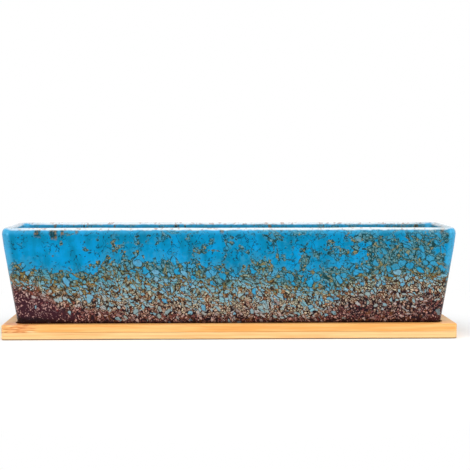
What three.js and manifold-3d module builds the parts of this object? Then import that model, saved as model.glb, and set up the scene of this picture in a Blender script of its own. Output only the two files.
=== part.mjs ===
// Rectangular ceramic planter on a bamboo tray.
// A long trough of glazed stoneware stands in a shallow recess of a tray that is
// glued up from two layers of bamboo strips. Millimetres, +Z up, +X along the length,
// origin at the middle of the tray's underside.
import * as THREE from 'three';
import { mergeVertices } from 'three/addons/utils/BufferGeometryUtils.js';
import Module from 'manifold-3d';

const wasm = await Module();
wasm.setup();

// Trough, measured over the rim
const potLength = 359;
const potWidth = 83;
const potHeight = 79;
const wallThickness = 7;
const floorThickness = 8;
const rimFlat = 0.6;
const rimDrop = 5.2;
const rimCornerRadius = 9;
const innerCornerRadius = 6;
const floorFillet = 9;

// Lean of the walls: the lip stands a little steeper than the wall below it
const wallLean = 9.7;
const lipLean = 0.8;
const lipHeight = 14;
const lipBlend = 7;

// Foot: an unglazed ring round a shallow hollow
const footCornerRadius = 6.5;
const footEdgeRadius = 1.6;
const footRingWidth = 8;
const footHollowDepth = 1.6;
const footHollowDraft = 1;
const footHollowCornerRadius = 3.5;

// Drain holes along the floor
const drainCount = 3;
const drainSpacing = 104;
const drainRadius = 6;
const drainEdgeRadius = 1.5;

// Tray
const upperLayer = 6;
const lowerLayer = 6;
const upperStripCount = 4;
const lowerStripCount = 4;
const recessDepth = 2.5;
const recessFillet = 1;
const seatClearance = 2;
const endMargin = 9;
const sideMargin = 7;
const trayCornerRadius = 2.5;
const trayEdgeRadius = 1.2;

// Fineness of the curved surfaces
const cornerSteps = 8;
const edgeSteps = 5;
const drainSides = 28;
const cutterReach = 5;

// Sizes that follow from the ones above
const potLean = wallLean + lipLean;
const rimRadius = (wallThickness - rimFlat) / 2;
const innerRimBase = potHeight - rimRadius;
const outerRimBase = potHeight - rimDrop;
const footLength = potLength - 2 * potLean;
const footWidth = potWidth - 2 * potLean;
const trayThickness = lowerLayer + upperLayer;
const recessLength = footLength + 2 * seatClearance;
const recessWidth = footWidth + 2 * seatClearance;
const trayLength = recessLength + 2 * endMargin;
const trayWidth = recessWidth + 2 * sideMargin;
const recessFloor = trayThickness - recessDepth;

// One ring of a rectangle with rounded corners, counter-clockwise seen from above.
function roundedRing(halfLength, halfWidth, radius, z) {
  const ring = [];
  const corners = [[1, 1, 0], [-1, 1, 90], [-1, -1, 180], [1, -1, 270]];
  for (const [signX, signY, startAngle] of corners) {
    for (let step = 0; step <= cornerSteps; step += 1) {
      const angle = THREE.MathUtils.degToRad(startAngle + (90 * step) / cornerSteps);
      ring.push(new THREE.Vector3(
        signX * (halfLength - radius) + radius * Math.cos(angle),
        signY * (halfWidth - radius) + radius * Math.sin(angle),
        z,
      ));
    }
  }
  return ring;
}

// A closed solid through rings of equal count, from its lower cap out and round to its last cap.
function loftRings(rings) {
  const count = rings[0].length;
  const positions = [];
  const triangles = [];
  for (const ring of rings) {
    for (const point of ring) {
      positions.push(point.x, point.y, point.z);
    }
  }
  for (let level = 0; level + 1 < rings.length; level += 1) {
    for (let side = 0; side < count; side += 1) {
      const next = (side + 1) % count;
      const a = level * count + side;
      const b = level * count + next;
      const c = (level + 1) * count + next;
      const d = (level + 1) * count + side;
      triangles.push(a, b, c, a, c, d);
    }
  }
  const lastRing = (rings.length - 1) * count;
  const firstCentre = positions.length / 3;
  positions.push(0, 0, rings[0][0].z);
  const lastCentre = firstCentre + 1;
  positions.push(0, 0, rings[rings.length - 1][0].z);
  for (let side = 0; side < count; side += 1) {
    const next = (side + 1) % count;
    triangles.push(firstCentre, next, side);
    triangles.push(lastCentre, lastRing + side, lastRing + next);
  }
  const geometry = new THREE.BufferGeometry();
  geometry.setAttribute('position', new THREE.Float32BufferAttribute(positions, 3));
  geometry.setIndex(triangles);
  return geometry;
}

// A quarter of a rounded edge, as steps from 0 to 1 along each of its two directions.
function quarterSteps() {
  const steps = [];
  for (let step = 0; step <= edgeSteps; step += 1) {
    const angle = (Math.PI / 2) * (step / edgeSteps);
    steps.push([Math.sin(angle), 1 - Math.cos(angle)]);
  }
  return steps;
}

function toSolid(geometry) {
  const bare = geometry.clone();
  bare.deleteAttribute('normal');
  bare.deleteAttribute('uv');
  const merged = mergeVertices(bare, 1e-4);
  return new wasm.Manifold(new wasm.Mesh({
    numProp: 3,
    vertProperties: new Float32Array(merged.attributes.position.array),
    triVerts: new Uint32Array(merged.index.array),
  }));
}

function toGeometry(solid) {
  const mesh = solid.getMesh();
  const geometry = new THREE.BufferGeometry();
  geometry.setAttribute('position', new THREE.Float32BufferAttribute(mesh.vertProperties, 3));
  geometry.setIndex(Array.from(mesh.triVerts));
  geometry.computeVertexNormals();
  return geometry;
}

function namedMesh(name, geometry, material) {
  const mesh = new THREE.Mesh(geometry, material);
  mesh.name = name;
  return mesh;
}

// Outside face of the wall, as how far it stands out from the foot's outline at a height:
// straight up to the lip, then a soft bend into the lip's own steeper line.
const lipStart = new THREE.Vector2(wallLean, potHeight - lipHeight);
const wallSlope = lipStart.x / lipStart.y;
const lipSlope = lipLean / (outerRimBase - lipStart.y);
const lipBend = new THREE.QuadraticBezierCurve(
  new THREE.Vector2(lipStart.x - wallSlope * lipBlend, lipStart.y - lipBlend),
  lipStart,
  new THREE.Vector2(lipStart.x + lipSlope * lipBlend, lipStart.y + lipBlend),
);

// The trough is one loft: foot hollow, foot ring, outer wall, lip, rim, inner wall, floor.
function troughGeometry() {
  const rings = [];
  const addRing = (out, z, radius) => {
    rings.push(roundedRing(footLength / 2 + out, footWidth / 2 + out, radius, z));
  };
  const outerRadiusAt = (z) => THREE.MathUtils.lerp(footCornerRadius, rimCornerRadius, z / potHeight);

  addRing(-footRingWidth - footHollowDraft, footHollowDepth, footHollowCornerRadius);
  addRing(-footRingWidth, 0, footHollowCornerRadius);
  for (const [along, rise] of quarterSteps()) {
    const out = -footEdgeRadius * (1 - along) + wallSlope * footEdgeRadius * rise;
    addRing(out, footEdgeRadius * rise, footCornerRadius);
  }
  for (const point of lipBend.getPoints(edgeSteps)) {
    addRing(point.x, point.y, outerRadiusAt(point.y));
  }

  // The rim rolls over a taller curve outside than inside.
  const radiusAcross = (share) => THREE.MathUtils.lerp(rimCornerRadius, innerCornerRadius, share);
  for (const [along, rise] of quarterSteps()) {
    const inset = rimRadius * rise;
    addRing(potLean - inset, outerRimBase + rimDrop * along, radiusAcross(inset / wallThickness));
  }
  for (const [along, rise] of quarterSteps().reverse()) {
    const inset = wallThickness - rimRadius * rise;
    addRing(potLean - inset, innerRimBase + rimRadius * along, radiusAcross(inset / wallThickness));
  }

  addRing(lipStart.x - wallThickness, lipStart.y, innerCornerRadius);
  const filletTop = floorThickness + floorFillet;
  const filletOut = wallSlope * filletTop - wallThickness;
  for (const [along, rise] of quarterSteps().reverse()) {
    addRing(
      filletOut - floorFillet * (1 - along),
      filletTop - floorFillet * (1 - rise),
      innerCornerRadius,
    );
  }
  return loftRings(rings);
}

// A drain hole is cut by a turned plug that flares where it meets the trough's floor.
function drainPlug() {
  const top = floorThickness;
  const profile = [
    new THREE.Vector2(0, -cutterReach),
    new THREE.Vector2(drainRadius, -cutterReach),
  ];
  for (const [along, rise] of quarterSteps()) {
    profile.push(new THREE.Vector2(
      drainRadius + drainEdgeRadius * rise,
      top - drainEdgeRadius * (1 - along),
    ));
  }
  profile.push(new THREE.Vector2(drainRadius + drainEdgeRadius, top + cutterReach));
  profile.push(new THREE.Vector2(0, top + cutterReach));
  const geometry = new THREE.LatheGeometry(profile, drainSides);
  geometry.rotateX(Math.PI / 2);
  return geometry;
}

function makePot() {
  let trough = toSolid(troughGeometry());
  const plug = toSolid(drainPlug());
  for (let index = 0; index < drainCount; index += 1) {
    const along = (index - (drainCount - 1) / 2) * drainSpacing;
    trough = trough.subtract(plug.translate([along, 0, 0]));
  }
  const glaze = new THREE.MeshStandardMaterial({ color: '#1a84b4', roughness: 0.2, metalness: 0 });
  return namedMesh('ceramic_pot', toGeometry(trough), glaze);
}

// The tray's outline as one block with eased edges, which the strips share.
function trayBlock() {
  const rings = [];
  const addRing = (inset, z) => {
    rings.push(roundedRing(trayLength / 2 - inset, trayWidth / 2 - inset, trayCornerRadius - inset, z));
  };
  for (const [along, rise] of quarterSteps()) {
    addRing(trayEdgeRadius * (1 - along), trayEdgeRadius * rise);
  }
  for (const [along, rise] of quarterSteps()) {
    addRing(trayEdgeRadius * rise, trayThickness - trayEdgeRadius * (1 - along));
  }
  return loftRings(rings);
}

// The recess is a routed pocket with a small radius round its floor.
function recessCutter() {
  const rings = [];
  const radius = footCornerRadius + seatClearance;
  const addRing = (inset, z) => {
    rings.push(roundedRing(recessLength / 2 - inset, recessWidth / 2 - inset, radius - inset, z));
  };
  for (const [along, rise] of quarterSteps()) {
    addRing(recessFillet * (1 - along), recessFloor + recessFillet * rise);
  }
  addRing(0, trayThickness + cutterReach);
  return loftRings(rings);
}

// A strip is the part of the block between two glue lines and two layer faces.
function cutStrip(block, fromY, toY, fromZ, toZ) {
  const box = new THREE.BoxGeometry(trayLength + 2 * cutterReach, toY - fromY, toZ - fromZ);
  box.translate(0, (fromY + toY) / 2, (fromZ + toZ) / 2);
  return block.intersect(toSolid(box));
}

function makeTray() {
  const tray = new THREE.Group();
  tray.name = 'tray';
  const block = toSolid(trayBlock());
  const routedBlock = block.subtract(toSolid(recessCutter()));

  const upperTones = ['#eab27c', '#e3a76e', '#edb985', '#e6ac75'];
  const upperPitch = trayWidth / upperStripCount;
  for (let index = 0; index < upperStripCount; index += 1) {
    const fromY = -trayWidth / 2 + index * upperPitch;
    const strip = cutStrip(routedBlock, fromY, fromY + upperPitch, lowerLayer, trayThickness);
    const bamboo = new THREE.MeshStandardMaterial({
      color: upperTones[index % upperTones.length],
      roughness: 0.55,
      metalness: 0,
    });
    tray.add(namedMesh(`upper_strip_${index + 1}`, toGeometry(strip), bamboo));
  }

  // The lower layer starts with half a strip, so that no glue line lies under another.
  const lowerTones = ['#f5c792', '#f8cf9f', '#f2c08a', '#f7ca97', '#f4c48e'];
  const lowerPitch = trayWidth / lowerStripCount;
  for (let index = 0; index <= lowerStripCount; index += 1) {
    const fromY = Math.max(-trayWidth / 2, -trayWidth / 2 + (index - 0.5) * lowerPitch);
    const toY = Math.min(trayWidth / 2, -trayWidth / 2 + (index + 0.5) * lowerPitch);
    const strip = cutStrip(block, fromY, toY, 0, lowerLayer);
    const bamboo = new THREE.MeshStandardMaterial({
      color: lowerTones[index % lowerTones.length],
      roughness: 0.55,
      metalness: 0,
    });
    tray.add(namedMesh(`lower_strip_${index + 1}`, toGeometry(strip), bamboo));
  }
  return tray;
}

const planter = new THREE.Group();
planter.name = 'rectangular_ceramic_planter';
planter.add(makeTray());
const pot = makePot();
pot.position.z = recessFloor;
planter.add(pot);

export default planter;
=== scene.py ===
import math

import bpy
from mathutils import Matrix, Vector


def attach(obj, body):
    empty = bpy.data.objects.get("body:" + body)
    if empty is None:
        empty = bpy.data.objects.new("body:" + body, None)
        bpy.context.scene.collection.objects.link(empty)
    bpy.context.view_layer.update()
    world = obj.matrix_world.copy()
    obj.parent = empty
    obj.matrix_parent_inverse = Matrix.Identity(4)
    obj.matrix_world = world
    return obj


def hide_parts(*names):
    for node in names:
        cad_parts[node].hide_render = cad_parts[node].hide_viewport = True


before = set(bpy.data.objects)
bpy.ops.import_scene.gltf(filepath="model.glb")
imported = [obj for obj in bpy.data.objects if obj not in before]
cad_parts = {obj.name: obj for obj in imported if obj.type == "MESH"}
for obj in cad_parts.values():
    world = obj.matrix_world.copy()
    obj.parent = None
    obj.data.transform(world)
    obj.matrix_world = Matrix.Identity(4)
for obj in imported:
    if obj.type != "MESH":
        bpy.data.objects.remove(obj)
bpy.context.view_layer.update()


# The tray's lower layer: five strips of bamboo, the outer two of half width, glued edge to
# edge and planed flat. The strips keep their built shape and get sanded, lacquered bamboo.

MM = 0.001

TRAY_LENGTH = 360 * MM
TRAY_WIDTH = 80 * MM
LAYER_THICKNESS = 6 * MM
STRIP_WIDTH = 20 * MM
LOWER_STRIPS = 5
# Where the front strip's knuckle is along X: past the tray's end, so out of sight
LOWER_KNUCKLE = 260 * MM
KNUCKLE_SPREAD = 340 * MM
# Turns per metre along and across a strip of the patterns in the bamboo
STREAKS = (14.0, 420.0)
FIBRES = (45.0, 1500.0)
BUNDLES = (9.0, 1250.0)
FIGURES = (80.0, 620.0)


def srgb(red, green, blue):
    """A colour as it is seen, 0 to 255, as the linear values that a socket takes."""
    linear = []
    for channel in (red, green, blue):
        share = channel / 255
        linear.append(share / 12.92 if share <= 0.04045 else ((share + 0.055) / 1.055) ** 2.4)
    return (*linear, 1.0)


LOWER_PALE = srgb(248, 204, 140)
LOWER_WARM = srgb(244, 182, 112)
BUNDLE_CORE = srgb(196, 132, 74)
KNUCKLE = srgb(232, 156, 90)
FIGURE_LINE = srgb(204, 120, 58)
FIGURE_PALE = srgb(255, 222, 164)
GLUE = srgb(168, 104, 52)
# Painted shade for the dark line along the tray's lower edge, where it meets the floor
EDGE_SHADE = srgb(72, 46, 30)


def put(tree, kind, inputs=None, **settings):
    """Adds a node, sets its properties, and fills or links its inputs by name or number."""
    node = tree.nodes.new(kind)
    for name, value in settings.items():
        setattr(node, name, value)
    for key, value in (inputs or {}).items():
        if isinstance(value, bpy.types.NodeSocket):
            tree.links.new(value, node.inputs[key])
        else:
            node.inputs[key].default_value = value
    return node


def number(tree, operation, *values):
    return put(tree, "ShaderNodeMath", dict(enumerate(values)), operation=operation).outputs[0]


def product(tree, *values):
    result = values[0]
    for value in values[1:]:
        result = number(tree, "MULTIPLY", result, value)
    return result


def total(tree, *values):
    result = values[0]
    for value in values[1:]:
        result = number(tree, "ADD", result, value)
    return result


def minus(tree, first, second):
    return number(tree, "SUBTRACT", first, second)


def around_zero(tree, value, reach):
    """A noise's 0 to 1 as minus half to plus half of the reach."""
    return product(tree, minus(tree, value, 0.5), reach)


def split(tree, value):
    return put(tree, "ShaderNodeSeparateXYZ", {0: value}).outputs


def join(tree, x, y, z):
    return put(tree, "ShaderNodeCombineXYZ", {0: x, 1: y, 2: z}).outputs[0]


def fade(tree, value, start, end, low=0.0, high=1.0):
    """Low at start, high at end, and a soft step between them."""
    return put(tree, "ShaderNodeMapRange", {0: value, 1: start, 2: end, 3: low, 4: high},
               interpolation_type="SMOOTHSTEP").outputs[0]


def mixed(tree, share, first, second):
    return put(tree, "ShaderNodeMix", {0: share, 2: first, 3: second}).outputs[0]


def blend(tree, share, first, second, way="MIX"):
    return put(tree, "ShaderNodeMix", {0: share, 6: first, 7: second},
               data_type="RGBA", blend_type=way).outputs[2]


def dimmed(tree, colour, shade):
    return blend(tree, 1.0, colour, join(tree, shade, shade, shade), "MULTIPLY")


def noise(tree, place, scale, detail=2.0, roughness=0.5):
    return put(tree, "ShaderNodeTexNoise",
               {"Vector": place, "Scale": scale, "Detail": detail, "Roughness": roughness})


def start_group(name, inputs, outputs):
    """A shader node group with named sockets. Returns its tree, its inputs and its end node."""
    tree = bpy.data.node_groups.new(name, "ShaderNodeTree")
    for label, kind in inputs:
        tree.interface.new_socket(label, in_out="INPUT", socket_type="NodeSocket" + kind)
    for label, kind in outputs:
        tree.interface.new_socket(label, in_out="OUTPUT", socket_type="NodeSocket" + kind)
    begin = tree.nodes.new("NodeGroupInput")
    end = tree.nodes.new("NodeGroupOutput")
    return tree, begin.outputs, end


def finish_group(tree, end, results):
    for label, socket in results.items():
        tree.links.new(socket, end.inputs[label])
    return tree


def bamboo_grain():
    """Fibres along X, a tone for each strip, a faint knuckle in it, dark glue lines, and a painted shadow
    line along the tray's lower edge."""
    tree, given, end = start_group(
        "bamboo grain",
        [("Strip width", "Float"), ("First seam", "Float"), ("Front knuckle", "Float"),
         ("Pale", "Color"), ("Warm", "Color")],
        [("Color", "Color"), ("Roughness", "Float"), ("Height", "Float")],
    )
    place = put(tree, "ShaderNodeTexCoord").outputs["Object"]
    x, side, level = split(tree, place)

    # Each strip's own chance, and its own stretch of the patterns
    across = number(tree, "DIVIDE", minus(tree, side, given["First seam"]), given["Strip width"])
    layer = number(tree, "FLOOR", number(tree, "DIVIDE", level, LAYER_THICKNESS * 1.0001))
    strip = total(tree, number(tree, "FLOOR", across), product(tree, layer, 17.0))
    chance = put(tree, "ShaderNodeTexWhiteNoise", {"W": strip}, noise_dimensions="1D").outputs
    along = total(tree, x, product(tree, chance["Value"], 3.0))

    # Its knuckle, where the fibres swirl: the foremost strip's is given, the others' is by chance
    in_front = number(tree, "LESS_THAN", across, -1.0)
    by_chance = around_zero(tree, chance["Color"], KNUCKLE_SPREAD)
    knuckle_at = mixed(tree, in_front, by_chance, given["Front knuckle"])
    from_knuckle = number(tree, "ABSOLUTE", minus(tree, x, knuckle_at))
    swirl = product(tree, fade(tree, from_knuckle, 14 * MM, 2 * MM),
                    around_zero(tree, noise(tree, place, 110.0, 1.0).outputs[0], 7 * MM))
    swirled = (total(tree, side, swirl), total(tree, level, swirl))

    def drawn_out(pattern, y, z):
        """The place for a pattern that is drawn out along the strip."""
        lengthways, crossways = pattern
        return join(tree, product(tree, along, lengthways), product(tree, y, crossways),
                    product(tree, z, crossways))

    streaks = noise(tree, drawn_out(STREAKS, *swirled), 1.0, 3.0, 0.6).outputs[0]
    fibres = noise(tree, drawn_out(FIBRES, *swirled), 1.0, 2.0, 0.5).outputs[0]
    bundle = put(tree, "ShaderNodeTexVoronoi",
                 {"Vector": drawn_out(BUNDLES, *swirled), "Scale": 1.0}).outputs["Distance"]
    bundle_core = fade(tree, bundle, 0.34, 0.12)
    figure = noise(tree, drawn_out(FIGURES, side, level), 1.0, 1.0).outputs[0]

    tone = total(tree, fade(tree, streaks, 0.32, 0.68), around_zero(tree, chance["Value"], 0.7))
    colour = blend(tree, tone, given["Pale"], given["Warm"])
    colour = dimmed(tree, colour, fade(tree, fibres, 0.3, 0.7, 0.93, 1.04))
    colour = blend(tree, product(tree, bundle_core, 0.32), colour, BUNDLE_CORE)

    wavy = total(tree, from_knuckle, product(tree, streaks, 6 * MM))
    colour = blend(tree, product(tree, fade(tree, wavy, 18 * MM, 6 * MM), 0.7), colour, KNUCKLE)
    contour = number(tree, "ABSOLUTE", minus(tree, figure, 0.47))
    in_figure = fade(tree, from_knuckle, 17 * MM, 9 * MM)
    figure_line = product(tree, in_figure, fade(tree, contour, 0.08, 0.03, 0.0, 0.8))
    colour = blend(tree, figure_line, colour, FIGURE_LINE)
    figure_pale = product(tree, in_figure, fade(tree, figure, 0.56, 0.66, 0.0, 0.7))
    colour = blend(tree, figure_pale, colour, FIGURE_PALE)

    # Glue lines between the strips and between the layers
    half_length = TRAY_LENGTH / 2
    half_width = TRAY_WIDTH / 2
    from_middle = number(tree, "ABSOLUTE", side)
    from_seam = product(tree, number(tree, "PINGPONG", across, 0.5), given["Strip width"])
    inside_edge = fade(tree, from_middle, half_width - 0.4 * MM, half_width - 1.0 * MM)
    seam = product(tree, fade(tree, from_seam, 0.28 * MM, 0.08 * MM), inside_edge)
    from_layer = number(tree, "ABSOLUTE", minus(tree, level, LAYER_THICKNESS))
    glue = number(tree, "MAXIMUM", seam, fade(tree, from_layer, 0.34 * MM, 0.1 * MM))
    colour = blend(tree, product(tree, glue, 0.5), colour, GLUE)

    # Painted shade: a dark line along the lower edge, where the tray's contact shadow falls
    low_edge = total(tree, level, product(tree, streaks, 0.3 * MM))
    at_sides = fade(tree, from_middle, half_width - 2.4 * MM, half_width - 1.2 * MM)
    from_cross = number(tree, "ABSOLUTE", x)
    at_ends = fade(tree, from_cross, half_length - 2.4 * MM, half_length - 1.2 * MM)
    edge_shade = product(tree, fade(tree, low_edge, 1.4 * MM, 0.6 * MM, 0.0, 0.85),
                     number(tree, "MAXIMUM", at_sides, at_ends))
    colour = blend(tree, edge_shade, colour, EDGE_SHADE)

    grooves = total(tree, glue, product(tree, bundle_core, 0.3))
    return finish_group(tree, end, {
        "Color": colour,
        "Roughness": fade(tree, fibres, 0.3, 0.7, 0.38, 0.5),
        "Height": minus(tree, product(tree, fibres, 0.25), grooves),
    })


bamboo = bamboo_grain()


def bamboo_material(name, first_seam, front_knuckle, pale, warm):
    material = bpy.data.materials.new(name)
    material.use_nodes = True
    tree = material.node_tree
    shader = tree.nodes["Principled BSDF"]
    grain = put(tree, "ShaderNodeGroup", node_tree=bamboo)
    grain.inputs["Strip width"].default_value = STRIP_WIDTH
    grain.inputs["First seam"].default_value = first_seam
    grain.inputs["Front knuckle"].default_value = front_knuckle
    grain.inputs["Pale"].default_value = pale
    grain.inputs["Warm"].default_value = warm
    relief = put(tree, "ShaderNodeBump", {"Height": grain.outputs["Height"], "Distance": 0.08 * MM,
                                          "Strength": 0.6})
    tree.links.new(grain.outputs["Color"], shader.inputs["Base Color"])
    tree.links.new(grain.outputs["Roughness"], shader.inputs["Roughness"])
    tree.links.new(relief.outputs["Normal"], shader.inputs["Normal"])
    shader.inputs["Coat Weight"].default_value = 0.1
    shader.inputs["Coat Roughness"].default_value = 0.3
    shader.inputs["Specular IOR Level"].default_value = 0.35
    return material


def finish_strips(prefix, count, material):
    for index in range(1, count + 1):
        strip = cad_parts[f"{prefix}_{index}"]
        strip.data.materials.clear()
        strip.data.materials.append(material)


lower_bamboo = bamboo_material("bamboo lower layer", -STRIP_WIDTH / 2, LOWER_KNUCKLE,
                               LOWER_PALE, LOWER_WARM)
finish_strips("lower_strip", LOWER_STRIPS, lower_bamboo)


# The tray's upper layer: four strips glued on top, with their seams between those below, and
# a shallow recess routed through them for the trough's foot. Its bamboo is a shade warmer.

UPPER_STRIPS = 4
UPPER_KNUCKLE = -166 * MM
UPPER_PALE = srgb(251, 206, 134)
UPPER_WARM = srgb(242, 170, 88)

upper_bamboo = bamboo_material("bamboo upper layer", 0.0, UPPER_KNUCKLE, UPPER_PALE, UPPER_WARM)
finish_strips("upper_strip", UPPER_STRIPS, upper_bamboo)


# The trough: slip-cast stoneware with leaning walls, a rounded rim and three drain holes,
# dipped in a blue glaze that breaks into flakes over a brown one. Its foot and the lower
# part of its inside are bare clay. One loft sweeps the wall's section round the foot.

SEAT_HEIGHT = 9.5 * MM
POT_LENGTH = 359 * MM
POT_WIDTH = 83 * MM
POT_HEIGHT = 79 * MM
WALL = 7 * MM
FLOOR = 8 * MM
RIM_FLAT = 0.6 * MM
RIM_RADIUS = (WALL - RIM_FLAT) / 2
RIM_DROP = 5.2 * MM
RIM_CORNER = 9 * MM
INNER_CORNER = 6 * MM
FLOOR_FILLET = 9 * MM
WALL_LEAN = 9.7 * MM
LIP_LEAN = 0.8 * MM
LIP_HEIGHT = 14 * MM
LIP_BLEND = 7 * MM
FOOT_CORNER = 6.5 * MM
FOOT_EDGE = 1.6 * MM
FOOT_RING = 8 * MM
HOLLOW_DEPTH = 1.6 * MM
HOLLOW_DRAFT = 1 * MM
HOLLOW_CORNER = 3.5 * MM
DRAIN_COUNT = 3
DRAIN_SPACING = 104 * MM
DRAIN_RADIUS = 6 * MM
DRAIN_FLARE = 1.5 * MM
STATION_GAP = 2 * MM
ROW_GAP = 2.2 * MM
WOBBLE = 0.45 * MM

foot_half_length = POT_LENGTH / 2 - WALL_LEAN - LIP_LEAN
foot_half_width = POT_WIDTH / 2 - WALL_LEAN - LIP_LEAN
inner_rim_base = POT_HEIGHT - RIM_RADIUS
outer_rim_base = POT_HEIGHT - RIM_DROP
lip_start = POT_HEIGHT - LIP_HEIGHT
wall_slope = WALL_LEAN / lip_start
lip_slope = LIP_LEAN / (outer_rim_base - lip_start)
rim_out = WALL_LEAN + LIP_LEAN


def quarter(steps):
    """Shares of a quarter round: along its first direction, and along its second."""
    angles = [math.pi / 2 * step / steps for step in range(steps + 1)]
    return [(math.sin(angle), 1 - math.cos(angle)) for angle in angles]


def between(start, end, gap):
    """Points after start up to end, at most a gap apart."""
    steps = max(1, math.ceil((Vector(end) - Vector(start)).length / gap))
    return [tuple(Vector(start).lerp(Vector(end), step / steps)) for step in range(1, steps + 1)]


def trough_section():
    """The section from the middle of the underside, out, up, over the rim and in to the floor.
    Each row is: out from the foot's outline, height, corner radius, 1 on the inner side."""
    rows = []

    def add(out, height, corner, inner):
        rows.append((out, height, corner, inner))

    def corner_at(height):
        return FOOT_CORNER + (RIM_CORNER - FOOT_CORNER) * height / POT_HEIGHT

    middle = (-foot_half_width, HOLLOW_DEPTH)
    hollow_edge = (-FOOT_RING - HOLLOW_DRAFT, HOLLOW_DEPTH)
    add(*middle, 0.0, 1.0)
    for out, height in between(middle, hollow_edge, 4 * ROW_GAP):
        add(out, height, HOLLOW_CORNER, 1.0)
    for out, height in between(hollow_edge, (-FOOT_RING, 0.0), ROW_GAP):
        add(out, height, HOLLOW_CORNER, 1.0)
    for out, height in between((-FOOT_RING, 0.0), (-FOOT_EDGE, 0.0), 2 * ROW_GAP):
        add(out, height, FOOT_CORNER, 0.0)
    for along, rise in quarter(6)[1:]:
        out = -FOOT_EDGE * (1 - along) + wall_slope * FOOT_EDGE * rise
        add(out, FOOT_EDGE * rise, FOOT_CORNER, 0.0)

    bend_low = Vector((WALL_LEAN - wall_slope * LIP_BLEND, lip_start - LIP_BLEND))
    bend_mid = Vector((WALL_LEAN, lip_start))
    bend_high = Vector((WALL_LEAN + lip_slope * LIP_BLEND, lip_start + LIP_BLEND))
    for out, height in between((wall_slope * FOOT_EDGE, FOOT_EDGE), bend_low, ROW_GAP):
        add(out, height, corner_at(height), 0.0)
    for step in range(1, 7):
        share = step / 6
        point = bend_low.lerp(bend_mid, share).lerp(bend_mid.lerp(bend_high, share), share)
        add(*point, corner_at(point.y), 0.0)
    for out, height in between(bend_high, (rim_out, outer_rim_base), ROW_GAP):
        add(out, height, corner_at(height), 0.0)

    def corner_across(inset):
        return RIM_CORNER + (INNER_CORNER - RIM_CORNER) * inset / WALL

    for along, rise in quarter(8)[1:]:
        inset = RIM_RADIUS * rise
        add(rim_out - inset, outer_rim_base + RIM_DROP * along, corner_across(inset), 0.0)
    for along, rise in reversed(quarter(8)):
        inset = WALL - RIM_RADIUS * rise
        add(rim_out - inset, inner_rim_base + RIM_RADIUS * along, corner_across(inset), 1.0)

    fillet_top = FLOOR + FLOOR_FILLET
    fillet_out = wall_slope * fillet_top - WALL
    inner_rim = (rim_out - WALL, inner_rim_base)
    inner_lip = (WALL_LEAN - WALL, lip_start)
    for start, stop in ((inner_rim, inner_lip), (inner_lip, (fillet_out, fillet_top))):
        for out, height in between(start, stop, ROW_GAP):
            add(out, height, INNER_CORNER, 1.0)
    for along, rise in reversed(quarter(8)[:-1]):
        out = fillet_out - FLOOR_FILLET * (1 - along)
        add(out, fillet_top - FLOOR_FILLET * (1 - rise), INNER_CORNER, 1.0)
    for out, height in between(rows[-1][:2], (-foot_half_width, FLOOR), 2 * ROW_GAP):
        add(out, height, INNER_CORNER, 1.0)
    return rows


def section_object(rows):
    """The section as a bare row of points: x is how far out, z the height."""
    mesh = bpy.data.meshes.new("trough section")
    mesh.from_pydata([(out, 0.0, height) for out, height, corner, inner in rows], [], [])
    for name, column in (("corner_radius", 2), ("inner_side", 3)):
        layer = mesh.attributes.new(name, "FLOAT", "POINT")
        layer.data.foreach_set("value", [row[column] for row in rows])
    part = bpy.data.objects.new("stoneware_trough", mesh)
    bpy.context.scene.collection.objects.link(part)
    return part


def vector(tree, operation, *values):
    return put(tree, "ShaderNodeVectorMath", dict(enumerate(values)), operation=operation).outputs[0]


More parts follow.
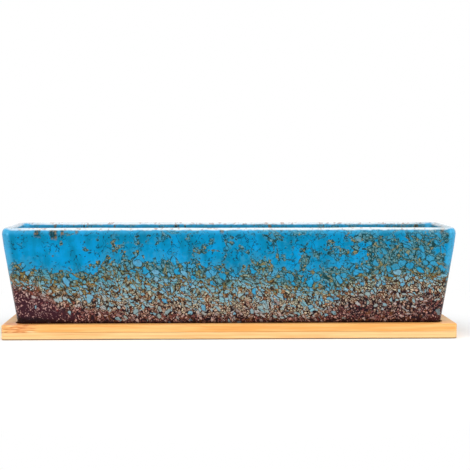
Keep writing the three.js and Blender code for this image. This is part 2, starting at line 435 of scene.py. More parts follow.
def trough_tree():
    """Sweeps the section round the foot's outline, with rounded corners whose radius each row
    gives, draws the walls gently in and out, and drills the drain holes with a soft edge. Whole
    stations along each side make both long sides meet point to point in the middle."""
    tree = bpy.data.node_groups.new("trough loft", "GeometryNodeTree")
    sockets = [("Section", "Geometry"), ("Stations along", "Int"), ("Stations across", "Int"),
               ("Foot half length", "Float"), ("Foot half width", "Float"),
               ("Seat height", "Float"), ("Wobble", "Float"), ("Floor", "Float"),
               ("Drain count", "Int"), ("Drain spacing", "Float"), ("Drain radius", "Float"),
               ("Drain flare", "Float"), ("Glaze", "Material")]
    for label, kind in sockets:
        tree.interface.new_socket(label, in_out="INPUT", socket_type="NodeSocket" + kind)
    tree.interface.new_socket("Trough", in_out="OUTPUT", socket_type="NodeSocketGeometry")
    given = tree.nodes.new("NodeGroupInput").outputs
    end = tree.nodes.new("NodeGroupOutput")
    place = put(tree, "GeometryNodeInputPosition").outputs[0]

    # A flat sheet with a column of points for each station, one for each row of the section
    rows = put(tree, "GeometryNodeAttributeDomainSize", {0: given["Section"]}).outputs["Point Count"]
    stations = product(tree, total(tree, given["Stations along"], given["Stations across"]), 2.0)
    columns = total(tree, stations, 1.0)
    sheet = put(tree, "GeometryNodeMeshGrid", {"Vertices X": columns, "Vertices Y": rows}).outputs["Mesh"]
    index = put(tree, "GeometryNodeInputIndex").outputs[0]
    row = number(tree, "MODULO", index, rows)
    turn = number(tree, "DIVIDE", number(tree, "FLOOR", number(tree, "DIVIDE", index, rows)), stations)

    def from_row(kind, source):
        return put(tree, "GeometryNodeSampleIndex",
                   {"Geometry": given["Section"], "Value": source, "Index": row},
                   data_type=kind).outputs[0]

    def attribute(name):
        return put(tree, "GeometryNodeInputNamedAttribute", {"Name": name}, data_type="FLOAT").outputs[0]

    def with_attribute(geometry, name, value):
        return put(tree, "GeometryNodeStoreNamedAttribute",
                   {"Geometry": geometry, "Name": name, "Value": value},
                   data_type="FLOAT", domain="POINT").outputs[0]

    # Each point onto its row's rectangle, with the corners rounded
    out, _, height = split(tree, from_row("FLOAT_VECTOR", place))
    half_length = total(tree, given["Foot half length"], out)
    half_width = number(tree, "MAXIMUM", total(tree, given["Foot half width"], out), 0.0)
    corner = number(tree, "MINIMUM", from_row("FLOAT", attribute("corner_radius")), half_width)
    outline = put(tree, "GeometryNodeCurvePrimitiveQuadrilateral",
                  {"Width": given["Stations along"], "Height": given["Stations across"]}).outputs[0]
    on_outline = put(tree, "GeometryNodeSampleCurve", {"Curves": outline, "Factor": turn},
                     mode="FACTOR").outputs["Position"]
    full_size = join(tree, product(tree, given["Stations along"], 0.5),
                     product(tree, given["Stations across"], 0.5), 1.0)
    row_size = join(tree, half_length, half_width, 0.0)
    square = vector(tree, "MULTIPLY", vector(tree, "DIVIDE", on_outline, full_size), row_size)
    straight = vector(tree, "SUBTRACT", row_size, join(tree, corner, corner, 0.0))
    heart = vector(tree, "MAXIMUM", vector(tree, "MINIMUM", square, straight),
                   vector(tree, "MULTIPLY", straight, (-1, -1, -1)))
    outward = vector(tree, "NORMALIZE", vector(tree, "SUBTRACT", square, heart))
    round_corner = vector(tree, "MULTIPLY", outward, join(tree, corner, corner, corner))
    raised = join(tree, 0.0, 0.0, total(tree, height, given["Seat height"]))
    lofted = vector(tree, "ADD", vector(tree, "ADD", heart, round_corner), raised)

    turn_x, turn_y, _ = split(tree, outward)
    cornering = number(tree, "ABSOLUTE", product(tree, turn_x, turn_y, 2.0))
    sheet = with_attribute(sheet, "inner_side", from_row("FLOAT", attribute("inner_side")))
    sheet = with_attribute(sheet, "round_corner", cornering)
    sheet = put(tree, "GeometryNodeSetPosition", {"Geometry": sheet, "Position": lofted}).outputs[0]
    shell = put(tree, "GeometryNodeMergeByDistance", {"Geometry": sheet, "Distance": 0.01 * MM}).outputs[0]

    # The gentle unevenness of a cast wall, only ever inwards
    over_foot = minus(tree, split(tree, place)[2], given["Seat height"])
    swell = noise(tree, place, 17.0, 1.5, 0.4).outputs[0]
    drawn_in = product(tree, minus(tree, fade(tree, swell, 0.25, 0.75), 1.0),
                       product(tree, given["Wobble"], fade(tree, over_foot, 1 * MM, 8 * MM)))
    normal = put(tree, "GeometryNodeInputNormal").outputs[0]
    offset = vector(tree, "MULTIPLY", normal, join(tree, drawn_in, drawn_in, drawn_in))
    shell = put(tree, "GeometryNodeSetPosition", {"Geometry": shell, "Offset": offset}).outputs[0]

    # A round plug for each drain hole, flared where it leaves the floor's top
    reach = total(tree, given["Floor"], 8 * MM)
    plug = put(tree, "GeometryNodeMeshCylinder",
               {"Vertices": 48, "Side Segments": 48, "Radius": given["Drain radius"],
                "Depth": reach}).outputs[0]
    plug_top = total(tree, split(tree, place)[2], product(tree, given["Floor"], 0.5))
    from_edge = minus(tree, plug_top, minus(tree, given["Floor"], given["Drain flare"]))
    flared = number(tree, "DIVIDE", from_edge, given["Drain flare"])
    flared = number(tree, "MINIMUM", number(tree, "MAXIMUM", flared, 0.0), 1.0)
    rest = minus(tree, 1.0, product(tree, flared, flared))
    round_edge = minus(tree, 1.0, number(tree, "SQRT", rest))
    flare_share = number(tree, "DIVIDE", given["Drain flare"], given["Drain radius"])
    wider = total(tree, 1.0, product(tree, round_edge, flare_share))
    widened = vector(tree, "MULTIPLY", place, join(tree, wider, wider, 1.0))
    plug = put(tree, "GeometryNodeSetPosition", {"Geometry": plug, "Position": widened}).outputs[0]
    plug = with_attribute(plug, "inner_side", 1.0)
    first = product(tree, minus(tree, given["Drain count"], 1.0),
                    product(tree, given["Drain spacing"], -0.5))
    middle_height = total(tree, given["Seat height"], product(tree, given["Floor"], 0.5))
    line = put(tree, "GeometryNodeMeshLine",
               {"Count": given["Drain count"], "Start Location": join(tree, first, 0.0, middle_height),
                "Offset": join(tree, given["Drain spacing"], 0.0, 0.0)}, mode="OFFSET").outputs[0]
    plugs = put(tree, "GeometryNodeInstanceOnPoints", {"Points": line, "Instance": plug}).outputs[0]
    plugs = put(tree, "GeometryNodeRealizeInstances", {"Geometry": plugs}).outputs[0]
    drilled = put(tree, "GeometryNodeMeshBoolean", {"Mesh 1": shell, "Mesh 2": plugs},
                  operation="DIFFERENCE", solver="EXACT").outputs[0]

    # The cut's own points belong to the inner side too, so that the holes stay bare clay
    hole_x, hole_y, _ = split(tree, place)
    hole_reach = total(tree, given["Drain radius"], given["Drain flare"], 1 * MM)
    row_reach = total(tree, number(tree, "ABSOLUTE", first), hole_reach)
    by_holes = product(tree, number(tree, "LESS_THAN", number(tree, "ABSOLUTE", hole_y), hole_reach),
                       number(tree, "LESS_THAN", number(tree, "ABSOLUTE", hole_x), row_reach))
    inside = number(tree, "MAXIMUM", attribute("inner_side"), by_holes)
    drilled = with_attribute(drilled, "inner_side", inside)

    smooth = put(tree, "GeometryNodeSetShadeSmooth", {"Geometry": drilled}, domain="FACE").outputs[0]
    angle = put(tree, "GeometryNodeInputMeshEdgeAngle").outputs[0]
    soft = number(tree, "LESS_THAN", angle, math.radians(40))
    smooth = put(tree, "GeometryNodeSetShadeSmooth", {"Geometry": smooth, "Shade Smooth": soft},
                 domain="EDGE").outputs[0]
    whole = put(tree, "GeometryNodeRealizeInstances", {"Geometry": smooth}).outputs[0]
    whole = put(tree, "GeometryNodeSetMaterial",
                {"Geometry": whole, "Material": given["Glaze"]}).outputs[0]
    tree.links.new(whole, end.inputs[0])
    return tree


def grow(part, tree, values):
    """Runs the tree on the part with these inputs, and leaves the result as its plain mesh."""
    modifier = part.modifiers.new(tree.name, "NODES")
    modifier.node_group = tree
    for item in tree.interface.items_tree:
        if item.in_out == "INPUT" and item.name in values:
            modifier[item.identifier] = values[item.name]
    graph = bpy.context.evaluated_depsgraph_get()
    mesh = bpy.data.meshes.new_from_object(part.evaluated_get(graph), preserve_all_data_layers=True,
                                           depsgraph=graph)
    part.modifiers.clear()
    part.data = mesh


def ramp(tree, share, stops):
    """A colour that changes with share, by pairs of a share and a colour."""
    node = put(tree, "ShaderNodeValToRGB", {0: share})
    marks = node.color_ramp.elements
    while len(marks) < len(stops):
        marks.new(1.0)
    for mark, (position, colour) in zip(marks, stops):
        mark.position = position
        mark.color = srgb(*colour)
    return node.outputs[0]


def curve_of(tree, value, low, high, points):
    """A smooth curve through pairs of a value and its result, both between these limits."""
    (value_low, value_high), (result_low, result_high) = low, high
    share = put(tree, "ShaderNodeMapRange", {0: value, 1: value_low, 2: value_high}).outputs[0]
    node = put(tree, "ShaderNodeFloatCurve", {0: 1.0, 1: share})
    line = node.mapping.curves[0]
    while len(line.points) < len(points):
        line.points.new(0.5, 0.5)
    for point, (place, result) in zip(line.points, points):
        point.location = ((place - value_low) / (value_high - value_low),
                          (result - result_low) / (result_high - result_low))
    node.mapping.update()
    return put(tree, "ShaderNodeMapRange",
               {0: node.outputs[0], 3: result_low, 4: result_high}).outputs[0]


def flake_layer():
    """Glaze broken into flakes of about one size, in millimetres, drawn out along a lean: what
    a flake's chance gives, where its middle is, and how near that and its neighbours are."""
    tree, given, end = start_group(
        "glaze flakes",
        [("Place", "Vector"), ("Flake size", "Float"), ("Lean", "Float")],
        [("Chance", "Vector"), ("Middle", "Vector"), ("From middle", "Float"), ("From border", "Float")],
    )
    size = join(tree, given["Flake size"], given["Flake size"], given["Flake size"])
    aside = product(tree, split(tree, given["Place"])[2], given["Lean"])
    leaned = vector(tree, "ADD", given["Place"], join(tree, aside, aside, 0.0))
    scaled = vector(tree, "DIVIDE", leaned, size)
    near = put(tree, "ShaderNodeTexVoronoi", {"Vector": scaled, "Scale": 1.0}, feature="F1").outputs
    border = put(tree, "ShaderNodeTexVoronoi", {"Vector": scaled, "Scale": 1.0},
                 feature="DISTANCE_TO_EDGE").outputs["Distance"]
    middle = vector(tree, "MULTIPLY", near["Position"], size)
    aside = product(tree, split(tree, middle)[2], given["Lean"])
    return finish_group(tree, end, {
        "Chance": near["Color"],
        "Middle": vector(tree, "SUBTRACT", middle, join(tree, aside, aside, 0.0)),
        "From middle": product(tree, near["Distance"], given["Flake size"]),
        "From border": product(tree, border, given["Flake size"]),
    })


# How high above the foot the blue glaze ran down to, along the wall, in millimetres
BLUE_FRONT = [(-180, 51), (-150, 46), (-122, 42), (-88, 53), (-57, 47), (-32, 49), (0, 42),
              (22, 49), (46, 35), (75, 34), (100, 42), (138, 47), (180, 44)]
# How far above that line the whole sheet already ends
SHEET_ENDS = [(-180, 0), (-95, 1), (-60, 7), (-30, 4), (0, 3), (25, 4), (50, 9), (180, 9)]
# How high the plain brown at the foot reaches
BROWN_FRONT = [(-180, 32), (-150, 24), (-128, 12), (-100, 4), (0, -2), (90, -2), (140, 2),
               (164, 8), (180, 18)]
# The two ends of the wall that these lines run between
WALL_ENDS = (-POT_LENGTH / 2 / MM, POT_LENGTH / 2 / MM)


def glaze_run():
    """How far a place lies above the wavy line that the blue glaze ran down to, and above the
    one where plain brown begins, in millimetres, and its depth: 0 at the first, 1 at the foot."""
    tree, given, end = start_group(
        "glaze run", [("Place", "Vector")],
        [("Over blue", "Float"), ("Over brown", "Float"), ("Depth", "Float")],
    )
    x, y, z = split(tree, given["Place"])
    height = minus(tree, z, SEAT_HEIGHT / MM)
    blue = curve_of(tree, x, WALL_ENDS, (0, 60), BLUE_FRONT)
    brown = curve_of(tree, x, WALL_ENDS, (-10, 50), BROWN_FRONT)
    over_blue = minus(tree, height, blue)
    left_to_run = total(tree, number(tree, "DIVIDE", over_blue, blue), 1.0)
    left_to_run = number(tree, "MAXIMUM", left_to_run, 0.0)
    steeper_at_right = fade(tree, x, 30.0, 120.0, 1.0, 2.2)
    return finish_group(tree, end, {
        "Over blue": over_blue,
        "Over brown": minus(tree, height, brown),
        "Depth": minus(tree, 1.0, number(tree, "POWER", left_to_run, steeper_at_right)),
    })


# Sizes of the flakes and specks, in millimetres, as all lengths in the glaze are
CHIP = 2.7
GRAIN = 1.75
ISLAND = 6.0
SPECK = 2.6
FINE_SPECK = 1.1
CRACK = 6.5
CHAIN = 17.0

BLUES = [(0.3, (0, 108, 146)), (0.42, (0, 126, 170)), (0.54, (0, 138, 192)), (0.7, (4, 148, 210))]
# Colours by depth, from the edge of the blue to the foot
CHIPS = [(0.0, (44, 134, 168)), (0.16, (84, 142, 156)), (0.35, (112, 156, 166)),
         (0.6, (120, 166, 178)), (0.8, (148, 156, 152)), (1.0, (138, 104, 96))]
PALE_CHIPS = [(0.0, (62, 146, 184)), (0.16, (96, 154, 174)), (0.35, (118, 164, 182)),
              (0.6, (144, 168, 170)), (1.0, (178, 150, 140))]
GRAINS = [(0.0, (70, 110, 104)), (0.2, (102, 122, 98)), (0.4, (146, 146, 120)),
          (0.6, (174, 164, 138)), (0.8, (168, 138, 116)), (1.0, (128, 74, 66))]
PALE_GRAINS = [(0.0, (96, 142, 146)), (0.3, (146, 164, 150)), (0.6, (198, 180, 150)),
               (1.0, (186, 136, 122))]
WARM_GRAINS = [(0.0, (100, 92, 50)), (0.25, (140, 112, 56)), (0.5, (154, 108, 68)),
               (0.75, (142, 76, 54)), (1.0, (112, 42, 36))]
GAPS = [(0.0, (24, 58, 58)), (0.18, (48, 44, 24)), (0.4, (52, 34, 16)), (0.7, (36, 10, 4)),
        (1.0, (30, 4, 2))]
ISLANDS = [(0.0, (34, 138, 180)), (0.25, (86, 152, 184)), (0.6, (122, 158, 170)),
           (1.0, (136, 150, 146))]
SHEET_TEAL = srgb(4, 108, 134)
SHEET_EDGE = srgb(58, 148, 184)
PATCH_EDGE = srgb(66, 134, 154)
DARK_LINE = srgb(12, 44, 46)
SMEARED_BLUE = srgb(62, 134, 150)
SMEARED_OLIVE = srgb(122, 128, 98)
OLIVE = srgb(142, 126, 74)
TEAL = srgb(68, 132, 148)
RUST = srgb(116, 66, 26)
BROWN = srgb(60, 18, 22)
PINK_SPECK = srgb(190, 146, 138)
# Partly the brown glaze pooled at the foot, partly painted shade where the trough meets the tray
FOOT_BAND_AND_SHADE = srgb(32, 5, 0)
# Partly thinner glaze, partly a painted highlight, on the upright corners and under the rim
CORNER_PALE_AND_HIGHLIGHT = srgb(84, 184, 230)
RUST_RUN = srgb(120, 92, 44)
RUN_SHADOW = srgb(22, 44, 38)
# Partly glaze broken paler over the rim, partly a painted highlight
RIM_WHITE_AND_HIGHLIGHT = srgb(226, 232, 234)
RIM_RUST = srgb(196, 168, 150)
# Where the glaze ran thinnest under the rim: middle along X, width and length
RUST_RUNS = [(-150.5, 5.0, 7.0), (-138.0, 5.5, 9.0), (-131.0, 3.0, 6.0), (-120.0, 3.0, 4.5),
             (-6.4, 3.5, 4.0), (40.0, 2.5, 3.5), (91.0, 3.0, 6.0), (167.0, 3.5, 5.0)]
CLAYS = [(0.3, (154, 110, 82)), (0.5, (178, 138, 108)), (0.72, (196, 160, 130))]
SCORCHED_CLAY = srgb(148, 88, 58)
GROG = srgb(110, 74, 52)

glaze = bpy.data.materials.new("reactive glaze")
glaze.use_nodes = True
tree = glaze.node_tree
flakes = flake_layer()
run = glaze_run()

# Short forms for the glaze's own nodes


def times(*values):
    return product(tree, *values)


def plus(*values):
    return total(tree, *values)


def less(first, second):
    return minus(tree, first, second)


def swing(value, reach):
    return around_zero(tree, value, reach)


def over(value, limit):
    return number(tree, "GREATER_THAN", value, limit)


def most(first, second):
    return number(tree, "MAXIMUM", first, second)


def away_from_zero(value):
    return number(tree, "ABSOLUTE", value)


def cloud(at, scale, detail=2.0, roughness=0.5):
    return noise(tree, at, scale, detail, roughness).outputs[0]


def flake(at, size, lean=0.0):
    node = put(tree, "ShaderNodeGroup", node_tree=flakes)
    tree.links.new(at, node.inputs["Place"])
    node.inputs["Flake size"].default_value = size
    node.inputs["Lean"].default_value = lean
    return node.outputs


def running(at):
    node = put(tree, "ShaderNodeGroup", node_tree=run)
    tree.links.new(at, node.inputs["Place"])
    return node.outputs


def stretched(x, y, z):
    return vector(tree, "MULTIPLY", place, (x, y, z))


def pushed(at, scale, detail, reach):
    """The place shifted by a noise, so that a pattern on it bends."""
    drift = noise(tree, place, scale, detail).outputs["Color"]
    drift = vector(tree, "SUBTRACT", drift, (0.5, 0.5, 0.5))
    return vector(tree, "ADD", at, vector(tree, "MULTIPLY", drift, (reach, reach, reach)))


metres = put(tree, "ShaderNodeTexCoord").outputs["Object"]
place = vector(tree, "MULTIPLY", metres, (1000, 1000, 1000))
x, y, z = split(tree, place)
height = less(z, SEAT_HEIGHT / MM)
corner = put(tree, "ShaderNodeAttribute", attribute_name="round_corner").outputs["Fac"]
warped = pushed(pushed(place, 0.1, 1.0, 9.0), 0.5, 2.0, 2.0)
ragged = pushed(warped, 0.9, 2.0, 1.3)
here = running(place)
depth = here["Depth"]
grit = cloud(place, 1.3)
cluster = cloud(place, 0.07)

# The blue sheet: cloudy, in soft runs, with dark specks in clusters and short dark cracks
speck = flake(warped, SPECK)
speck_one, speck_two, speck_three = split(tree, speck["Chance"])
sheet_colour = ramp(tree, cloud(stretched(0.11, 0.11, 0.045), 1.0, 3.0, 0.55), BLUES)
teal = plus(fade(tree, cloud(place, 0.15, 2.0, 0.6), 0.5, 0.68, 0.0, 0.25),
            times(fade(tree, height, 60.0, 74.0), cloud(stretched(0.1, 0.1, 0.2), 1.0), 0.55))
sheet_colour = blend(tree, teal, sheet_colour, SHEET_TEAL)
in_cluster = fade(tree, cloud(place, 0.09), 0.4, 0.62)
speck_size = plus(0.4, times(speck_two, 0.45))
speck_share = fade(tree, in_cluster, 0.0, 1.0, 0.8, 0.3)
from_speck = number(tree, "DIVIDE", speck["From middle"], speck_size)
speckled = times(over(speck_one, speck_share), fade(tree, from_speck, 1.3, 0.6))
sheet_colour = blend(tree, times(speckled, 0.85), sheet_colour, DARK_LINE)
cracks = flake(pushed(pushed(place, 0.1, 1.0, 12.0), 0.4, 2.0, 4.0), CRACK)
more_at_right = fade(tree, x, -60.0, 100.0, 0.0, 0.09)
cracked = times(fade(tree, cracks["From border"], 0.34, 0.1),
                fade(tree, plus(cloud(stretched(0.13, 0.13, 0.1), 1.0), more_at_right), 0.5, 0.56))
sheet_colour = blend(tree, times(cracked, 0.8), sheet_colour, DARK_LINE)

# Where the sheet is whole: above its edge, and outside the patches where it crackled
sheet_ends = curve_of(tree, x, WALL_ENDS, (0, 10), SHEET_ENDS)
edge = plus(less(here["Over blue"], sheet_ends),
            swing(cloud(stretched(0.13, 0.13, 0.07), 1.0), 26.0), swing(cloud(place, 0.33), 15.0))
patchy = plus(fade(tree, x, -110.0, -60.0, 0.06, 0.0), fade(tree, x, -20.0, 150.0, 0.65, 0.53),
              fade(tree, x, 138.0, 154.0, 0.0, -0.1), times(corner, 0.35))
chain = flake(pushed(pushed(place, 0.05, 1.0, 20.0), 0.25, 2.0, 5.0), CHAIN)
on_chain = times(fade(tree, chain["From border"], 2.0, 0.5),
                 fade(tree, cloud(place, 0.06, 1.0), 0.42, 0.52))
patch = plus(cloud(stretched(0.085, 0.085, 0.11), 1.0, 3.0, 0.65), swing(cloud(place, 0.4), 0.12),
             times(on_chain, 0.13))
from_patch = times(less(patchy, patch), 28.0)
in_sheet = plus(number(tree, "MINIMUM", edge, from_patch), swing(grit, 0.7))
sheet = fade(tree, in_sheet, -0.1, 0.35)
near_edge = times(fade(tree, edge, 8.0, 0.0), 0.4)
sheet_colour = blend(tree, near_edge, sheet_colour, SHEET_EDGE)
near_patch = times(fade(tree, from_patch, 2.5, 0.0), 0.45)
sheet_colour = blend(tree, near_patch, sheet_colour, PATCH_EDGE)
outline = times(fade(tree, away_from_zero(in_sheet), 0.6, 0.25),
                fade(tree, cloud(place, 0.22, 1.0), 0.38, 0.5))


def tint_at(flow, middle, chance):
    """How far along its row of colours a flake is: by depth, with a spread."""
    return plus(most(flow["Depth"], 0.0), fade(tree, flow["Over brown"], 14.0, -2.0, 0.0, 0.4),
                swing(cloud(middle, 0.075), 0.55), swing(chance, 0.3))


def shaded(colour, chance):
    return dimmed(tree, colour, fade(tree, chance, 0.0, 1.0, 0.92, 1.2))


# Below the sheet the glaze broke into chips, fewer lower down, each of one colour
chip = flake(ragged, CHIP, 0.5)
chip_one, chip_two, chip_three = split(tree, chip["Chance"])
chip_run = running(chip["Middle"])
chip_depth = chip_run["Depth"]
warmer_at_left = fade(tree, x, -80.0, -120.0, 0.0, 0.14)
chip_tint = tint_at(chip_run, chip["Middle"], chip_three)
chip_pale = over(chip_one, fade(tree, chip_depth, 0.15, 0.45, 0.85, 0.6))
chip_colour = blend(tree, chip_pale, ramp(tree, chip_tint, CHIPS), ramp(tree, chip_tint, PALE_CHIPS))
chip_warm = plus(times(less(1.0, chip_one), 0.7), swing(cloud(chip["Middle"], 0.22, 1.0), 1.2),
                 fade(tree, chip_depth, 0.4, 0.7, 0.0, -0.2), warmer_at_left)
chip_warm = times(fade(tree, chip_warm, 0.66, 0.76), 0.8)
chip_colour = blend(tree, chip_warm, chip_colour, ramp(tree, chip_tint, WARM_GRAINS))
chip_colour = shaded(chip_colour, cloud(chip["Middle"], 9.0, 0.0))
smeared = blend(tree, fade(tree, cloud(place, 0.5, 2.0, 0.6), 0.35, 0.65), SMEARED_BLUE, SMEARED_OLIVE)
chip_colour = blend(tree, fade(tree, chip_depth, 0.3, -0.05, 0.0, 0.55), chip_colour, smeared)
chip_in_brown = fade(tree, chip_run["Over brown"], 6.0, -2.0)
chip_gone = plus(fade(tree, chip_depth, 0.0, 0.9, 0.27, 0.66), fade(tree, x, 60.0, 120.0, 0.0, 0.14),
                 fade(tree, chip_depth, 0.0, -0.3, 0.0, 0.25), swing(cluster, 0.7),
                 times(chip_in_brown, 0.5))
chip_here = over(chip_two, chip_gone)
chip_gap = plus(fade(tree, chip_depth, 0.35, 0.0, 0.14, 0.17), swing(grit, 0.4))
chip_inside = number(tree, "MINIMUM", less(chip["From border"], chip_gap),
                     less(0.6 * CHIP, chip["From middle"]))
chip_body = times(chip_here, fade(tree, chip_inside, -0.04, 0.14))
chip_line = times(chip_here, fade(tree, chip_inside, -0.5, -0.34))

# Fine grains lie between the chips, and alone on the brown
grain = flake(warped, GRAIN, 0.3)
grain_one, grain_two, grain_three = split(tree, grain["Chance"])
grain_run = running(grain["Middle"])
grain_depth = grain_run["Depth"]
grain_tint = tint_at(grain_run, grain["Middle"], grain_three)
grain_colour = blend(tree, over(grain_one, 0.6), ramp(tree, grain_tint, GRAINS),
                     ramp(tree, grain_tint, PALE_GRAINS))
warm = fade(tree, plus(times(grain_two, 0.7), swing(cloud(grain["Middle"], 0.24, 1.0), 1.2),
                       fade(tree, grain_depth, 0.2, 0.8, 0.18, -0.1), warmer_at_left), 0.55, 0.7)
grain_colour = blend(tree, warm, grain_colour, ramp(tree, grain_tint, WARM_GRAINS))
tealness = plus(cloud(grain["Middle"], 0.25, 1.0), fade(tree, grain_depth, -0.1, -0.5, 0.0, 0.15),
                times(warmer_at_left, -0.6))
high_grain = blend(tree, fade(tree, tealness, 0.51, 0.67), OLIVE, TEAL)
grain_colour = blend(tree, fade(tree, grain_depth, 0.2, -0.05, 0.0, 0.8), grain_colour, high_grain)
grain_colour = shaded(grain_colour, cloud(grain["Middle"], 9.0, 0.0))
in_brown = fade(tree, plus(grain_run["Over brown"], swing(grain_three, 14.0)), 4.0, -3.0)
grain_colour = blend(tree, times(in_brown, 0.8), grain_colour, PINK_SPECK)
grain_gap = plus(fade(tree, depth, 0.0, 0.6, 0.03, 0.15), fade(tree, depth, 0.5, 0.9, 0.0, 0.05),
                 fade(tree, x, 60.0, 130.0, 0.0, 0.06), swing(grit, 0.3))
grain_size = times(plus(0.8, times(grain_two, 0.5)), fade(tree, in_brown, 0.0, 1.0, 1.0, 0.6))
grain_gone = plus(0.03, times(in_brown, fade(tree, depth, 0.45, 0.85, 0.2, 0.7)))
grain_body = times(fade(tree, less(grain["From border"], grain_gap), -0.04, 0.14),
                   fade(tree, less(grain["From middle"], grain_size), 0.2, -0.1),
                   over(grain_one, grain_gone))

# The dark glaze in the gaps: rusty in places, and plain brown with fine specks at the foot
gap_colour = ramp(tree, plus(depth, swing(cluster, 0.5)), GAPS)
rusty = times(fade(tree, cloud(place, 0.36, 1.0), 0.56, 0.64), fade(tree, depth, 0.05, 0.3), 0.6)
gap_colour = blend(tree, rusty, gap_colour, RUST)
all_brown = fade(tree, here["Over brown"], 5.0, -4.0)
gap_colour = blend(tree, all_brown, gap_colour, BROWN)
fine = flake(warped, FINE_SPECK)
fine_one, fine_two, _ = split(tree, fine["Chance"])
fine_gone = plus(0.67, fade(tree, depth, 0.7, 1.0, 0.0, 0.16), swing(cloud(place, 0.12), 0.6))
fine_here = times(all_brown, over(fine_one, fine_gone), fade(tree, fine["From middle"], 0.5, 0.28),
                  fade(tree, fine_two, 0.0, 1.0, 0.45, 0.95))
gap_colour = blend(tree, fine_here, gap_colour, PINK_SPECK)
broken_colour = blend(tree, grain_body, gap_colour, grain_colour)
broken_colour = blend(tree, chip_line, broken_colour, gap_colour)
broken_colour = blend(tree, chip_body, broken_colour, chip_colour)
body = mixed(tree, chip_line, grain_body, chip_body)

# A few large flakes among them, each with a dark line round it
island = flake(ragged, ISLAND, 0.3)
island_one, island_two, island_three = split(tree, island["Chance"])
island_depth = running(island["Middle"])["Depth"]
island_gone = plus(fade(tree, island_depth, -0.1, 0.5, 0.44, 0.5),
                   swing(cloud(island["Middle"], 0.05), 1.1),
                   fade(tree, x, -60.0, -110.0, 0.0, 0.3), fade(tree, x, 40.0, 100.0, 0.0, 0.12))
island_here = times(over(island_one, island_gone), fade(tree, island_depth, 1.0, 0.93))
island_size = plus(fade(tree, island_depth, 0.35, -0.05, 0.9, 2.1), times(island_two, 1.5),
                   swing(grit, 1.6))
island_edge = most(less(island["From middle"], island_size),
                   less(plus(0.3, swing(grit, 0.6)), island["From border"]))
island_colour = ramp(tree, plus(island_depth, swing(island_three, 0.8)), ISLANDS)
island_colour = blend(tree, fade(tree, island_depth, 0.1, -0.1), island_colour, sheet_colour)
island_colour = shaded(island_colour, fade(tree, cloud(place, 0.45, 3.0, 0.7), 0.3, 0.7))
island_colour = blend(tree, times(speckled, 0.6), island_colour, DARK_LINE)
island_line = times(island_here, fade(tree, island_edge, 0.6, 0.3))
broken_colour = blend(tree, island_line, broken_colour, gap_colour)
on_island = times(island_here, fade(tree, island_edge, 0.12, -0.12))
broken_colour = blend(tree, on_island, broken_colour, island_colour)

colour = blend(tree, sheet, broken_colour, sheet_colour)
colour = blend(tree, times(outline, 0.8), colour, DARK_LINE)

# Paler over the upright corners and just under the rim, partly from thinner glaze and partly a painted
# highlight; rusty where the glaze ran thinnest; and white over the rim's edge, partly glaze broken paler
# and partly a painted highlight
high = fade(tree, plus(height, swing(cloud(place, 0.15), 20.0)), 38.0, 52.0)
# Painted highlight with thinner glaze: paler down the upright corners, above mid-height
colour = blend(tree, times(fade(tree, corner, 0.1, 0.9), high, 0.45), colour, CORNER_PALE_AND_HIGHLIGHT)
# Painted highlight: a soft paler band just under the rim
colour = blend(tree, times(fade(tree, height, 72.5, 76.5), 0.3), colour, CORNER_PALE_AND_HIGHLIGHT)
rim_top = POT_HEIGHT / MM
wavy_x = plus(x, swing(cloud(place, 0.3), 3.0))
thin = times(over(y, 0.0), fade(tree, height, 66.0, 76.0),
             fade(tree, cloud(stretched(0.17, 0.17, 0.04), 1.0), 0.6, 0.64))
for middle, width, length in RUST_RUNS:
    aside = away_from_zero(less(wavy_x, middle))
    run_end = rim_top - length
    run_here = times(over(times(y, -1.0), 0.0), fade(tree, aside, width / 2 + 0.8, width / 2 - 0.8),
                     fade(tree, height, run_end - 2.0, run_end + 2.0))
    thin = most(thin, run_here)
streaky = cloud(stretched(0.5, 0.5, 0.12), 1.0, 3.0, 0.6)
run_colour = blend(tree, fade(tree, cloud(place, 0.45), 0.42, 0.56), RUST_RUN, RUN_SHADOW)
colour = blend(tree, times(thin, fade(tree, streaky, 0.34, 0.5), 0.9), colour, run_colour)
# Painted highlight with paler glaze: the white band over the rim's rounded edge, fading towards the ends
rim_wave = plus(swing(cloud(place, 0.2), 1.4), times(corner, -1.0))
rim_highlight = fade(tree, plus(height, rim_wave), rim_top - 2.6, rim_top - 1.2)
rim_colour_and_highlight = blend(tree, fade(tree, cloud(place, 0.3), 0.52, 0.66), RIM_WHITE_AND_HIGHLIGHT, RIM_RUST)
rim_end = fade(tree, away_from_zero(x), 152.0, 168.0, 0.88, 0.6)
colour = blend(tree, times(rim_highlight, rim_end), colour, rim_colour_and_highlight)

# The dark band at the foot: partly brown glaze pooled over it, partly painted shade where the trough meets
# the tray
pool_top = plus(fade(tree, x, -168.0, -120.0, 7.0, 3.2), swing(cloud(place, 0.2, 1.0), 3.0))
pool_and_shade = fade(tree, less(height, pool_top), 2.6, -0.8)
colour = blend(tree, times(pool_and_shade, 0.88), colour, FOOT_BAND_AND_SHADE)

# Bare clay under the foot, in the drain holes and below the glaze inside
inner = put(tree, "ShaderNodeAttribute", attribute_name="inner_side").outputs["Fac"]
glaze_depth = plus(8.0, times(cloud(place, 0.06), 16.0))
below_glaze = less(less(rim_top, height), glaze_depth)
bare = most(times(inner, fade(tree, below_glaze, -0.4, 0.0)), fade(tree, height, 0.9, 0.5))
clay_grain = cloud(place, 0.9, 4.0, 0.6)
clay = ramp(tree, plus(clay_grain, swing(cloud(place, 0.035, 3.0), 0.5)), CLAYS)
scorched = times(inner, fade(tree, below_glaze, 7.0, 0.5), 0.6)
clay = blend(tree, scorched, clay, SCORCHED_CLAY)
grog = times(over(speck_three, 0.8), fade(tree, speck["From middle"], 0.5, 0.3))
clay = blend(tree, times(grog, 0.5), clay, GROG)
colour = blend(tree, bare, colour, clay)

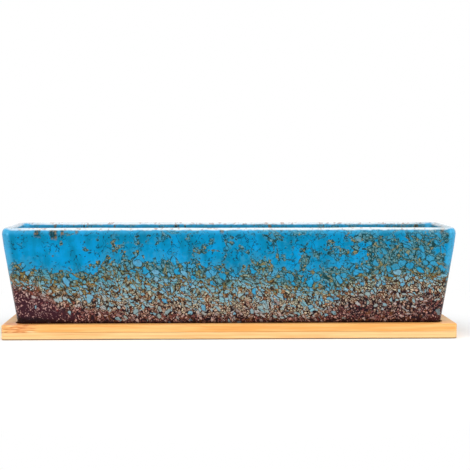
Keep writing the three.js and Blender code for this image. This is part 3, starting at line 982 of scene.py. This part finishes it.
# Glossy on the sheet, less so on the flakes, dull on the clay, and raised where it is thick
roughness = mixed(tree, bare, fade(tree, sheet, 0.0, 1.0, 0.26, 0.12), 0.82)
thick = most(most(sheet, times(body, 0.7)), on_island)
orange_peel = times(cloud(place, 0.18, 1.0), 1.5)
surface = mixed(tree, bare, plus(thick, orange_peel), times(clay_grain, 0.5))
relief = put(tree, "ShaderNodeBump", {"Height": surface, "Distance": 0.15 * MM, "Strength": 0.5})
shader = tree.nodes["Principled BSDF"]
tree.links.new(colour, shader.inputs["Base Color"])
tree.links.new(roughness, shader.inputs["Roughness"])
tree.links.new(relief.outputs["Normal"], shader.inputs["Normal"])
shader.inputs["Specular IOR Level"].default_value = 0.2
shader.inputs["Specular Tint"].default_value = (0.25, 0.7, 1.0, 1.0)


trough = section_object(trough_section())
grow(trough, trough_tree(), {
    "Stations along": round(POT_LENGTH / STATION_GAP),
    "Stations across": round(POT_WIDTH / STATION_GAP),
    "Foot half length": foot_half_length, "Foot half width": foot_half_width,
    "Seat height": SEAT_HEIGHT, "Wobble": WOBBLE, "Floor": FLOOR,
    "Drain count": DRAIN_COUNT, "Drain spacing": DRAIN_SPACING,
    "Drain radius": DRAIN_RADIUS, "Drain flare": DRAIN_FLARE,
    "Glaze": glaze,
})
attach(trough, "pot")
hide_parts("ceramic_pot")


# The room: a plain pale floor that keeps the shadow and fades into a white surround, wide
# soft lights overhead, in front and at both sides, and a card at each side that only shows
# in the gloss.

FLOOR_SIZE = 8.0
FLOOR_PAINT = 0.95
FADE_FROM = 0.2
FADE_TO = 0.36
SURROUND = 0.45

floor_mesh = bpy.data.meshes.new("studio floor")
half = FLOOR_SIZE / 2
floor_mesh.from_pydata([(-half, -half, 0), (half, -half, 0), (half, half, 0), (-half, half, 0)],
                       [], [(0, 1, 2, 3)])
studio_floor = bpy.data.objects.new("studio_floor", floor_mesh)
bpy.context.scene.collection.objects.link(studio_floor)


def floor_material():
    material = bpy.data.materials.new("studio floor paint")
    material.use_nodes = True
    tree = material.node_tree
    shader = tree.nodes["Principled BSDF"]
    place = put(tree, "ShaderNodeTexCoord").outputs["Object"]
    away = put(tree, "ShaderNodeVectorMath", {0: place}, operation="LENGTH").outputs["Value"]
    seen = put(tree, "ShaderNodeLightPath").outputs["Is Camera Ray"]
    white = product(tree, fade(tree, away, FADE_FROM, FADE_TO), seen)
    painted = blend(tree, white, (FLOOR_PAINT, FLOOR_PAINT, FLOOR_PAINT, 1), (0, 0, 0, 1))
    tree.links.new(painted, shader.inputs["Base Color"])
    tree.links.new(blend(tree, white, (0, 0, 0, 1), (1, 1, 1, 1)), shader.inputs["Emission Color"])
    shader.inputs["Emission Strength"].default_value = 1.0
    shader.inputs["Roughness"].default_value = 0.9
    shader.inputs["Specular IOR Level"].default_value = 0.0
    return material


floor_mesh.materials.append(floor_material())

world = bpy.data.worlds.new("white surround")
world.use_nodes = True
bpy.context.scene.world = world
sky = world.node_tree
path = put(sky, "ShaderNodeLightPath").outputs
seen = number(sky, "MAXIMUM", path["Is Camera Ray"],
              number(sky, "MAXIMUM", path["Is Glossy Ray"], path["Is Transmission Ray"]))
background = sky.nodes["Background"]
background.inputs["Color"].default_value = (1, 1, 1, 1)
sky.links.new(fade(sky, seen, 0.0, 1.0, SURROUND, 1.0), background.inputs["Strength"])


def soft_light(name, place, target, width, height, radiance, lights_surfaces=True):
    """A rectangular light, aimed at a point, that looks this bright on its face."""
    light = bpy.data.lights.new(name, "AREA")
    light.shape = "RECTANGLE"
    light.size = width
    light.size_y = height
    light.energy = radiance * math.pi * width * height
    part = bpy.data.objects.new(name, light)
    part.location = place
    part.rotation_euler = (Vector(target) - Vector(place)).to_track_quat("-Z", "Y").to_euler()
    part.visible_camera = False
    part.visible_diffuse = lights_surfaces
    bpy.context.scene.collection.objects.link(part)


middle = (0, 0, 0.05)
soft_light("light overhead", (0, -0.25, 1.3), middle, 1.1, 0.9, 3.4)
soft_light("light in front", (0, -1.7, 0.9), middle, 1.8, 0.8, 1.35)
for side, name, radiance in ((-1, "light at left", 2.2), (1, "light at right", 2.6)):
    soft_light(name, (side * 1.5, -0.75, 0.7), middle, 1.0, 1.0, radiance)
for side, name in ((-1, "card at left"), (1, "card at right")):
    soft_light(name, (side * 0.34, -0.17, 0.1), (side * 0.17, -0.04, 0.075), 0.05, 0.1, 14.0,
               lights_surfaces=False)


# The camera: a long lens a little under a metre away, just above the rim, looking down by
# four degrees and turned a little to the right.

PICTURE_PIXELS = 470
FOCAL_PIXELS = 1101
SENSOR = 36.0

lens = bpy.data.cameras.new("camera")
lens.sensor_width = SENSOR
lens.lens = FOCAL_PIXELS / PICTURE_PIXELS * SENSOR
camera = bpy.data.objects.new("camera", lens)
camera.location = (-0.0195, -0.9006, 0.1421)
camera.rotation_euler = (math.radians(90 - 3.95), 0, math.radians(-1.54))
bpy.context.scene.collection.objects.link(camera)
bpy.context.scene.camera = camera
bpy.context.scene.view_settings.view_transform = "Standard"
